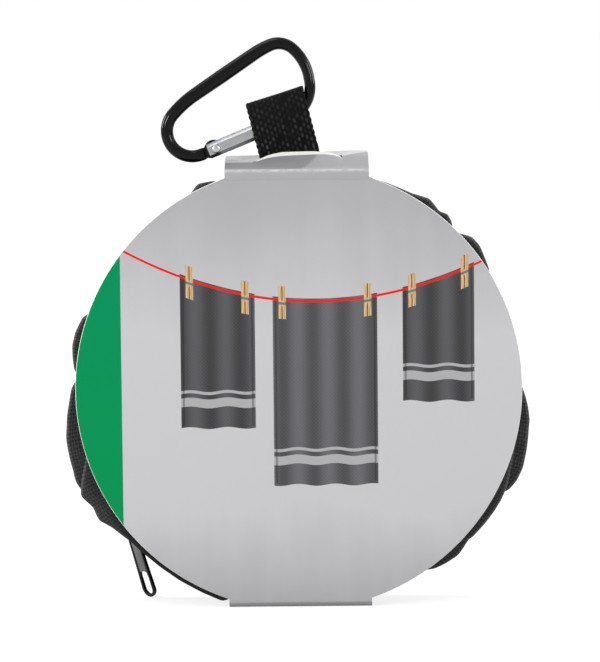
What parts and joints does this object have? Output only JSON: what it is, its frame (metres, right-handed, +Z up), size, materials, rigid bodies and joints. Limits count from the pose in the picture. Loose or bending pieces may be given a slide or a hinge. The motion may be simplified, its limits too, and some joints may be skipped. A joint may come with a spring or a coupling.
{
  "type": "peg bag",
  "caption": "Round zip-up fabric peg bag folded flat in a round card sleeve, hung from a webbing loop by a spring-gate carabiner.",
  "frame": {"origin": "centre of the flat underside of the card sleeve, where the pack stands", "axes": "+Z up towards the carabiner, -Y out of the front of the card, +X to the right seen from the front"},
  "size_m": [0.1559, 0.0245, 0.1916],
  "materials": {
    "card": "printed, satin",
    "fabric": "woven, matt",
    "binding": "ribbed tape, matt",
    "zip_tape": "woven, matt",
    "zip_teeth": "moulded, satin",
    "webbing": "woven, matt",
    "black_metal": "gloss black coating",
    "gate_metal": "satin",
    "steel": "satin"
  },
  "bodies": {
    "pack": {"card_sleeve": "card", "base_panel": "fabric", "base_binding": "binding", "bag_wall": "fabric", "mouth_hem": "binding", "zip_tape_body": "zip_tape", "zip_tape_lid": "zip_tape", "zip_teeth_body": "zip_teeth", "zip_teeth_lid": "zip_teeth", "zip_stop_left": "black_metal", "zip_stop_right": "black_metal", "zip_end_tab_left": "binding", "zip_end_tab_right": "binding", "lid_hinge_strip": "fabric", "lid_binding": "binding", "lid_panel": "fabric", "webbing_tail": "webbing"},
    "hanger": {"webbing_loop": "webbing", "carabiner_body": "black_metal"},
    "gate": {"carabiner_gate": "gate_metal", "gate_rivet": "steel", "gate_latch_pin": "steel", "gate_plunger": "steel", "gate_spring": "steel"},
    "slider": {"zip_slider": "black_metal"},
    "puller": {"zip_puller": "black_metal"}
  },
  "joints": [
    {"name": "strap_flop", "type": "hinge", "parent": "pack", "child": "hanger", "pos_m": [-0.0021, -0.0007, 0.15133], "axis": [1, 0, 0], "range_deg": [-55, 55], "stiffness_Nm_per_rad": 0.03},
    {"name": "gate_hinge", "type": "hinge", "parent": "hanger", "child": "gate", "pos_m": [-0.027, -0.0007, 0.1545], "axis": [0, -1, 0], "range_deg": [0, 26], "stiffness_Nm_per_rad": 0.02, "springref_deg": -20.05, "deforming": ["webbing_loop"]},
    {"name": "slider_travel", "type": "hinge", "parent": "pack", "child": "slider", "pos_m": [0, 0.00529, 0.0742], "axis": [0, 1, 0], "range_deg": [0, 85], "deforming": ["zip_teeth_body", "zip_teeth_lid"]},
    {"name": "puller_flip", "type": "hinge", "parent": "slider", "child": "puller", "pos_m": [-0.05906, 0.00636, 0.02805], "axis": [0.2435, 0.9511, 0.1902], "range_deg": [-13, 150]}
  ]
}
